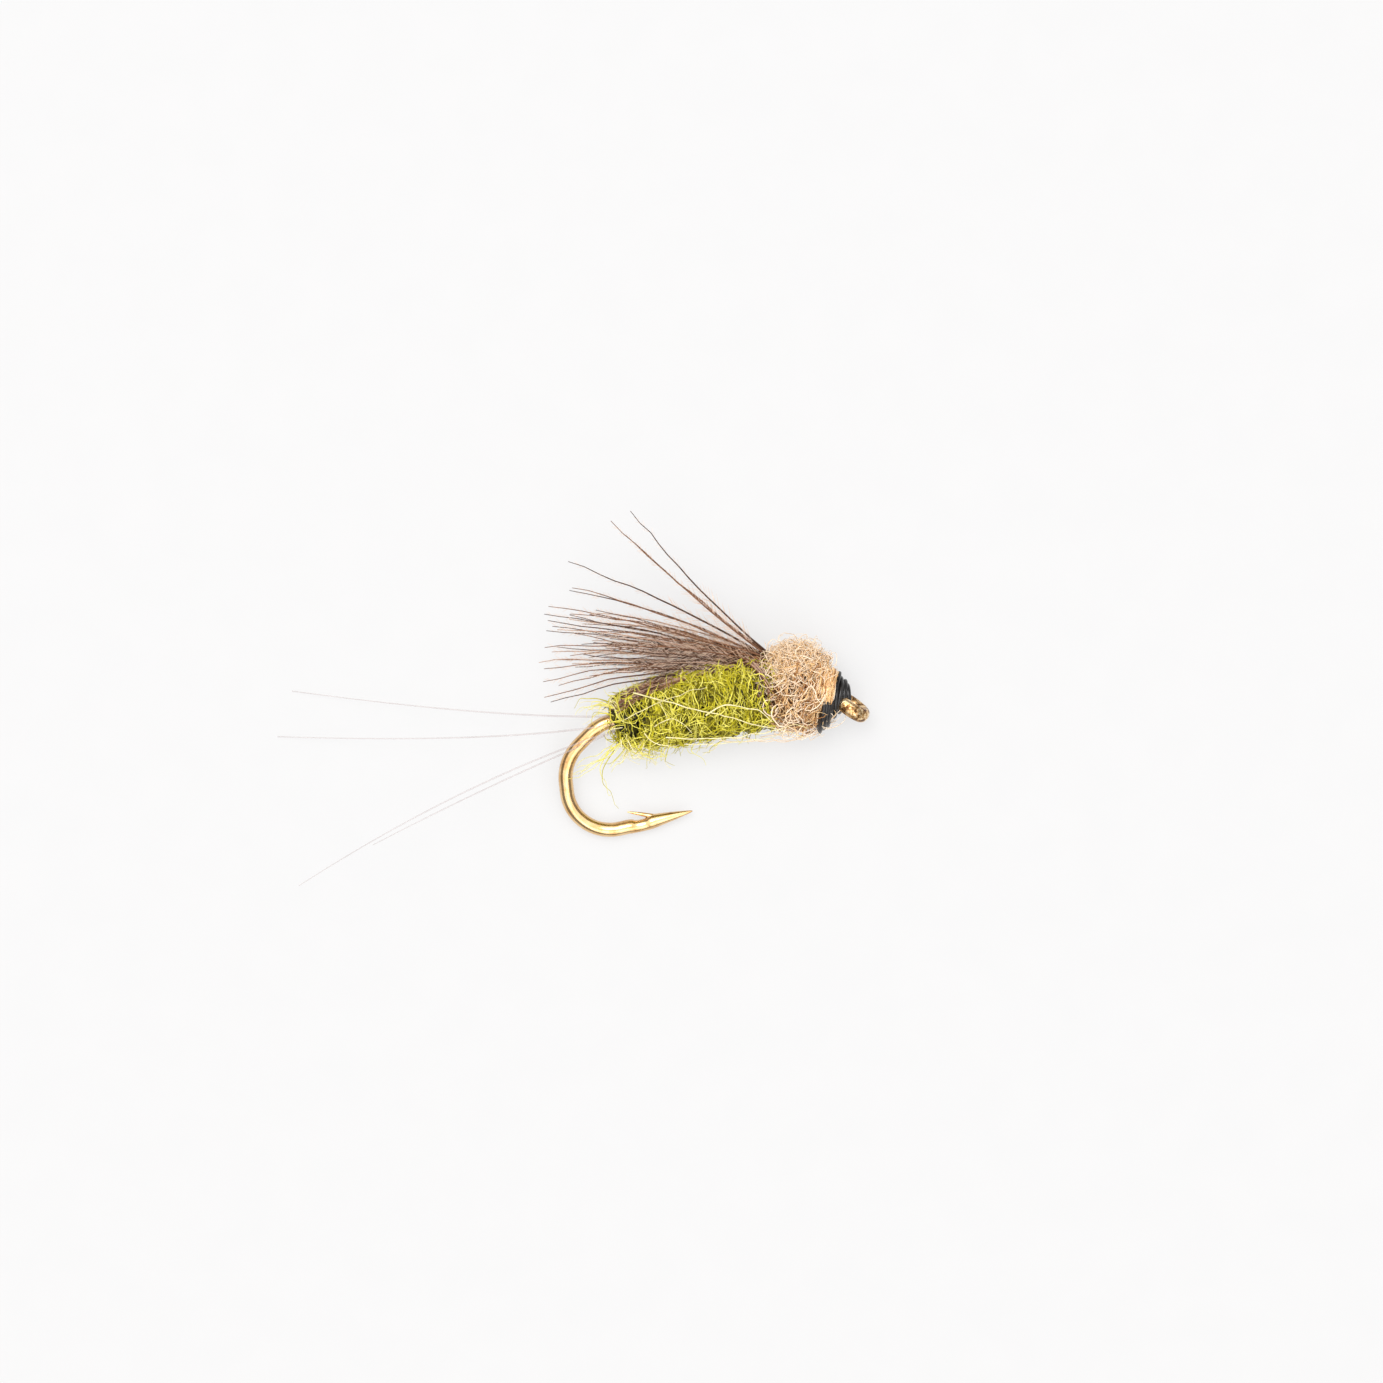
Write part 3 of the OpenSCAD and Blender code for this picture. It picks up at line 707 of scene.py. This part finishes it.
# long hairs under the thorax: root, bow and tip
BELLY_HAIRS = [((3.0, -0.8, 0.5), (4.6, -1.2, 0.5), (6.0, -0.8, 0.4)),
               ((3.4, -0.75, 0.6), (4.4, -1.05, 0.6), (5.5, -0.95, 0.4)),
               ((4.2, -0.9, 0.3), (5.0, -0.6, 0.9), (6.1, -0.95, 0.4)),
               ((4.6, -0.75, 0.6), (5.4, -1.3, 0.3), (6.2, -0.6, 0.5)),
               ((4.9, -0.4, 0.95), (5.6, -1.05, 0.7), (5.9, -1.05, 0.2)),
               ((6.0, -0.7, 0.6), (6.45, -1.0, 0.4), (6.9, -0.35, 0.3))]
# loops that lie over the thorax: middle, radius, how round, sweep and thickness
LOOPS = [((5.75, 0.25, 1.0), 0.42, 0.7, 5.2, 0.02), ((4.85, -0.15, 0.98), 0.3, 1.1, 5.4, 0.024),
         ((5.2, -0.2, 1.02), 0.24, 0.9, 4.2, 0.02), ((5.9, -0.15, 0.9), 0.5, 0.6, 3.4, 0.018),
         ((5.1, -0.65, 0.85), 0.38, 0.5, 4.6, 0.016), ((5.65, -0.7, 0.7), 0.42, 0.5, 4.2, 0.016),
         ((6.5, -0.5, 0.5), 0.3, 0.4, 3.6, 0.012), ((4.6, 0.1, 0.95), 0.3, 0.8, 4.4, 0.018)]


def thorax_strays():
    """Fine curls that stand off the thorax, mostly over the back, and long loops across it."""
    rng = random.Random(41)
    strands = []
    while len(strands) < 1000:
        p, out = thorax_point(rng, 1.0)
        if out.y < 0.3 and rng.random() < 0.85:
            continue
        across = any_direction(rng)
        normal = across.cross(out).normalized()
        off = rng.choice((rng.uniform(0.0, 0.14), rng.uniform(0.0, 0.3)))
        strands.append(curl(p + out * off, normal, across, rng.uniform(0.06, 0.3), rng.uniform(0, 6),
                            rng.uniform(1.5, 4.5), rng.uniform(0.005, 0.012), rng.choice((1, 2, 2)), rng))
    for a, b, c in BELLY_HAIRS:
        strands.append(hair(fly(*a), fly(*b), fly(*c), 0.014, 0.008, 2, 18, 0.25, a[0]))
    for _ in range(60):
        p = Vector((rng.uniform(6.1, 6.5), rng.uniform(0.5, 0.95), rng.uniform(-0.2, 0.7)))
        across = any_direction(rng)
        strands.append(curl(p, across.orthogonal().normalized(), across, rng.uniform(0.05, 0.16), 0,
                            rng.uniform(2, 5), rng.uniform(0.006, 0.012), rng.choice((0, 1, 1, 2)), rng))
    for at, size, squash, sweep, thick in LOOPS:
        strands.append(curl(Vector(at), UP, Vector((0.8, 0.6, 0)), size, 0.6, sweep, thick, 2, rng, squash))
    piece = strand_piece("thorax_strays", strands, [TAN_DARK, TAN, TAN_LIGHT])
    finish_piece(piece, "tan_dubbing", "thorax_guard_fibres")


abdomen()
abdomen_thread()
abdomen_strays()
thorax()
thorax_strays()


# ---------------------------------------------------------------- wing

WING_LEN = 6.1


def wing_path(tip, row, bow, depth, steps=14):
    """A wing fibre from its tie-in to its tip. row runs from 0, low, to 1, high; bow is its arch."""
    root = Vector((4.68 + 0.12 * row, 0.8 + 0.5 * row, depth * 0.2))
    end = Vector((tip[0], (tip[1] + depth * math.sin(ROLL)) / math.cos(ROLL), depth))
    chord = end - root
    over = Vector((chord.y, -chord.x, 0)).normalized() * chord.length * bow
    arch = root + chord * 0.5 + over + Vector((0, 0, depth * 0.1))
    return [bent(root, arch, end, i / steps) for i in range(steps + 1)]


def feather_fibre(path, root, tip, number, seed):
    """The stem of a feather fibre along a path, a little wavy, tapering from root to tip."""
    points, radii = [], []
    for i, p in enumerate(path):
        t = i / (len(path) - 1)
        wave = noise.noise_vector(p * 1.1 + Vector((seed, 0, 0)))
        points.append(above_table(fly(*(p + wave * 0.1 * t))))
        radii.append(root + (tip - root) * t ** 1.3)
    return points, radii, number


def barbules(points, rng, first, last, spacing, reach, number, thick):
    """The fine hairs down both sides of a feather fibre, between two parts of its length."""
    hairs = []
    lengths = [(points[i + 1] - points[i]).length for i in range(len(points) - 1)]
    whole = sum(lengths)
    at = whole * first
    while at < whole * last:
        i, left = 0, at
        while left > lengths[i]:
            left -= lengths[i]
            i += 1
        along = (points[i + 1] - points[i]).normalized()
        root = points[i] + along * left
        across = along.cross(UP).normalized()
        roll = rng.uniform(-0.9, 0.9)
        out = across * (rng.choice((-1, 1)) * math.cos(roll)) + along.cross(across) * math.sin(roll)
        size = reach * rng.uniform(0.4, 1.1) * (1 - 0.6 * at / whole) * MM
        arch = root + (along * 0.45 + out * 0.32) * size
        end = root + (along * 0.85 + out * 0.6) * size
        hairs.append(([above_table(root), above_table(arch), above_table(end)],
                      [thick, thick * 0.8, thick * 0.35], number))
        at += spacing * rng.uniform(0.6, 1.4) * MM
    return hairs


def wing_layer(name, nodes, fibres, seed, single=False):
    """One layer of the wing, of the fan or of the long single fibres: each has a tip, row, bow and depth."""
    rng = random.Random(seed)
    strands = []
    for tip, row, bow, depth in fibres:
        path = wing_path(tip, row, bow, depth)
        tone = rng.choice((0, 0, 1)) if single else rng.choice((0, 0, 0, 1, 1, 2))
        strand = feather_fibre(path, rng.uniform(0.026, 0.036), 0.009, tone, rng.uniform(0, 90))
        strands.append(strand)
        if single:
            strands += barbules(strand[0], rng, 0.12, 0.5, 0.045, 0.5, 4, 0.006)
            strands += barbules(strand[0], rng, 0.5, 0.97, 0.09, 0.4, 4, 0.005)
        else:
            strands += barbules(strand[0], rng, 0.12, 0.5, 0.11, 0.5, 3, 0.008)
            strands += barbules(strand[0], rng, 0.45, 0.98, 0.075, 0.42, 4, 0.0055)
    piece = strand_piece(name, strands, [FEATHER_DARK, FEATHER, FEATHER_LIGHT, BARBULE, DOWN])
    finish_piece(piece, "feather", *nodes)


# the fibres that stand out of the wing, low to high: tip, row, bow and depth
LOW_TIPS = [((-1.7, 0.67), 0.3, 0.1, 0.5), ((-1.85, 0.83), 0.02, 0.13, 0.1),
            ((-1.86, 1.32), 0.1, 0.1, -0.4), ((-1.77, 1.66), 0.0, 0.08, 0.6),
            ((-1.94, 1.91), 0.3, 0.05, -0.2), ((-1.4, 1.2), 0.35, 0.1, 0.3),
            ((-1.53, 1.93), 0.1, 0.03, -0.7), ((-1.54, 2.13), 0.25, 0.07, 0.2)]
MIDDLE_TIPS = [((-1.33, 2.25), 0.2, 0.04, -0.5), ((-1.67, 2.32), 0.5, 0.06, 0.4),
               ((-1.62, 2.78), 0.3, 0.05, -0.1), ((-1.27, 2.77), 0.6, 0.05, 0.7),
               ((-1.41, 2.84), 0.4, 0.04, -0.6), ((-1.48, 2.99), 0.6, 0.06, 0.2)]
UPPER_TIPS = [((-1.57, 3.26), 0.55, 0.05, 0.0), ((-1.44, 3.42), 0.7, 0.05, -0.5),
              ((-0.1, 3.2), 0.75, 0.05, 0.6), ((-0.9, 3.1), 0.65, 0.04, 0.4)]
TOP_TIPS = [((1.2, 5.9), 1.1, -0.06, 0.0), ((0.6, 5.67), 1.0, -0.035, -0.5),
            ((0.98, 5.17), 0.95, -0.03, 0.4), ((-0.75, 4.68), 0.9, 0.04, -0.3),
            ((-0.66, 3.89), 0.85, 0.06, 0.5), ((-0.78, 3.85), 0.8, 0.075, 0.1)]


def wing():
    """Three layers of the fan, and the long single fibres above them."""
    rng = random.Random(57)

    def short_ones(count, low, high):
        """Fibres that end inside the fan, between two angles."""
        chosen = []
        for i in range(count):
            row = low + (high - low) * (i + rng.uniform(0, 1)) / count
            angle = math.radians(-1 + 23.5 * row + rng.uniform(-2, 2))
            share = rng.choice((rng.uniform(0.32, 0.62), rng.uniform(0.4, 0.66), rng.uniform(0.6, 0.96)))
            length = WING_LEN * share
            tip = (4.5 - math.cos(angle) * length, 1.15 + math.sin(angle) * length)
            chosen.append((tip, min(1, max(0, row + rng.uniform(-0.45, 0.45))), rng.uniform(-0.01, 0.11),
                           rng.uniform(-0.9, 0.9)))
        return chosen

    rows = [f"wing_row_{number}" for number in range(1, 10)]
    wing_layer("wing_lower", rows[:3], LOW_TIPS + short_ones(26, 0.1, 0.4), 1)
    wing_layer("wing_middle", rows[3:6], MIDDLE_TIPS + short_ones(44, 0.33, 0.7), 2)
    wing_layer("wing_upper", rows[6:], UPPER_TIPS + short_ones(30, 0.62, 0.92), 3)
    wing_layer("wing_top", ["wing_top_fibres"], TOP_TIPS, 4, single=True)


def wing_back():
    """Feather fibres that hug the abdomen's back down to the bend, and the foot of the wing in front."""
    rng = random.Random(61)
    strands = []
    for _ in range(26):
        side, spread, stop = rng.uniform(-0.35, 0.3), rng.uniform(0.3, 0.75), rng.uniform(-0.05, 0.4)
        path = []
        for i in range(15):
            x = 4.1 + (stop - 4.1) * i / 14
            reach = ABDOMEN["radius"](x) * 1.02 + 0.08
            angle = side + spread * (i / 14) ** 2
            path.append(Vector((x, ABDOMEN["rise"](x) + reach * math.cos(angle), reach * math.sin(angle))))
        strand = feather_fibre(path, 0.03, 0.014, rng.choice((0, 0, 1, 2)), rng.uniform(0, 90))
        strands.append(strand)
        strands += barbules(strand[0], rng, 0.1, 0.97, 0.1, 0.26, 3, 0.006)
    for _ in range(16):
        z = rng.uniform(-0.05, 0.2)
        a = Vector((rng.uniform(3.7, 4.2), rng.uniform(1.3, 1.5), 0.15 + z))
        b = Vector((rng.uniform(4.4, 4.6), rng.uniform(1.1, 1.3), 0.55 + z))
        c = Vector((rng.uniform(4.48, 4.7), rng.uniform(0.3, 0.7), 0.85 + z * 0.5))
        path = [bent(a, b, c, i / 8) for i in range(9)]
        strands.append(feather_fibre(path, 0.03, 0.02, rng.choice((0, 1, 1, 2)), rng.uniform(0, 90)))
    piece = strand_piece("wing_back", strands, [FEATHER_DARK, FEATHER, FEATHER_LIGHT, BARBULE])
    finish_piece(piece, "feather", "wing_back_fibres")


wing()
wing_back()


# ---------------------------------------------------------------- thread work

def thread_turns(name, x0, x1, r0, r1, turns, thick, seed, shift=0.0, lean=0.0, node=None):
    """Close turns of thread on a cone round the shank, a little out of line, leaning forwards at the back."""
    points = []
    steps = int(turns * 30)
    for i in range(steps + 1):
        t = i / steps
        wrap = math.tau * turns * t
        wobble = noise.noise(Vector((wrap * 0.45, seed, 7))) * 0.06
        r = r0 + (r1 - r0) * t + wobble
        x = x0 + (x1 - x0) * t + lean * (1 - t * 0.6) * r * math.cos(wrap) + wobble * 0.5
        points.append(above_table(fly(x, shift * (1 - t) + r * math.cos(wrap), r * math.sin(wrap)), thick))
    piece = strand_piece(name, [(points, [thick] * len(points), 0)], [THREAD], 3)
    finish_piece(piece, "tying_thread", *([node] if node else []))


def head():
    """Collar, head and last turns, each wound over its own lower layer."""
    thread_turns("collar_thread", 6.08, 6.32, 0.84, 0.76, 3, 0.075, 1, -0.13, 0.3, "head_collar")
    thread_turns("collar_thread_under", 6.05, 6.32, 0.72, 0.68, 5, 0.07, 2, -0.1, 0.3)
    thread_turns("head_thread", 6.3, 6.84, 0.68, 0.25, 4.3, 0.085, 3, -0.03, 0.28, "head_wraps")
    thread_turns("head_thread_under", 6.2, 6.78, 0.58, 0.2, 8, 0.07, 4, -0.03, 0.2)
    thread_turns("head_thread_cross", 6.28, 6.76, 0.68, 0.33, 2.4, 0.06, 5, 0.0, 0.55)
    thread_turns("whip_thread", 6.58, 6.86, 0.4, 0.25, 2.5, 0.06, 6, 0.03, 0.1, "whip_finish")


def covered_nodes():
    """Gives the layers that are covered by the rest their own materials."""
    for name, material in (("thread_base", THREAD), ("tail_tie_in", THREAD), ("wing_tie_in", THREAD),
                           ("wing_butts", FEATHER)):
        node = frame["nodes"][name]
        node.data.materials.clear()
        node.data.materials.append(material)


head()
covered_nodes()


# ---------------------------------------------------------------- table, light and camera

FRAME_WIDTH = 39.83 * MM
CAMERA_TURN = math.radians(-6)
CAMERA_UP = 0.166


def area_light(name, size, power, location):
    """A round soft light that faces the fly."""
    lamp = bpy.data.lights.new(name, "AREA")
    lamp.shape = "DISK"
    lamp.size = size
    lamp.energy = power
    light = bpy.data.objects.new(name, lamp)
    light.location = location
    light.rotation_euler = (-light.location).to_track_quat("-Z", "Y").to_euler()
    bpy.context.collection.objects.link(light)


def table_and_light():
    """A white table, a bright room, a broad light overhead and two smaller ones."""
    bpy.ops.mesh.primitive_plane_add(size=2.0, location=(0, 0, 0))
    floor = bpy.context.active_object
    floor.name = "table_top"
    floor.data.materials.append(TABLE)
    world = bpy.data.worlds.new("studio")
    bpy.context.scene.world = world
    world.use_nodes = True
    world.node_tree.nodes["Background"].inputs["Color"].default_value = (1, 1, 1, 1)
    world.node_tree.nodes["Background"].inputs["Strength"].default_value = 0.3
    area_light("overhead", 0.9, 2.6, (0, 0.02, 0.36))
    area_light("key", 0.2, 0.52, (-0.035, 0.085, 0.3))
    area_light("fill", 0.3, 0.3, (0.05, -0.25, 0.22))


def camera():
    """A camera straight over the fly, turned a little."""
    data = bpy.data.cameras.new("camera")
    data.sensor_width = 36
    data.lens = 36 * CAMERA_UP / FRAME_WIDTH
    data.clip_start = 0.001
    data.clip_end = 10
    cam = bpy.data.objects.new("camera", data)
    aim = table(2.363, 0.577)
    cam.location = (aim.x, aim.y, CAMERA_UP + MM)
    cam.rotation_euler = (0, 0, CAMERA_TURN)
    bpy.context.collection.objects.link(cam)
    bpy.context.scene.camera = cam
    bpy.context.scene.view_settings.view_transform = "Standard"


table_and_light()
camera()
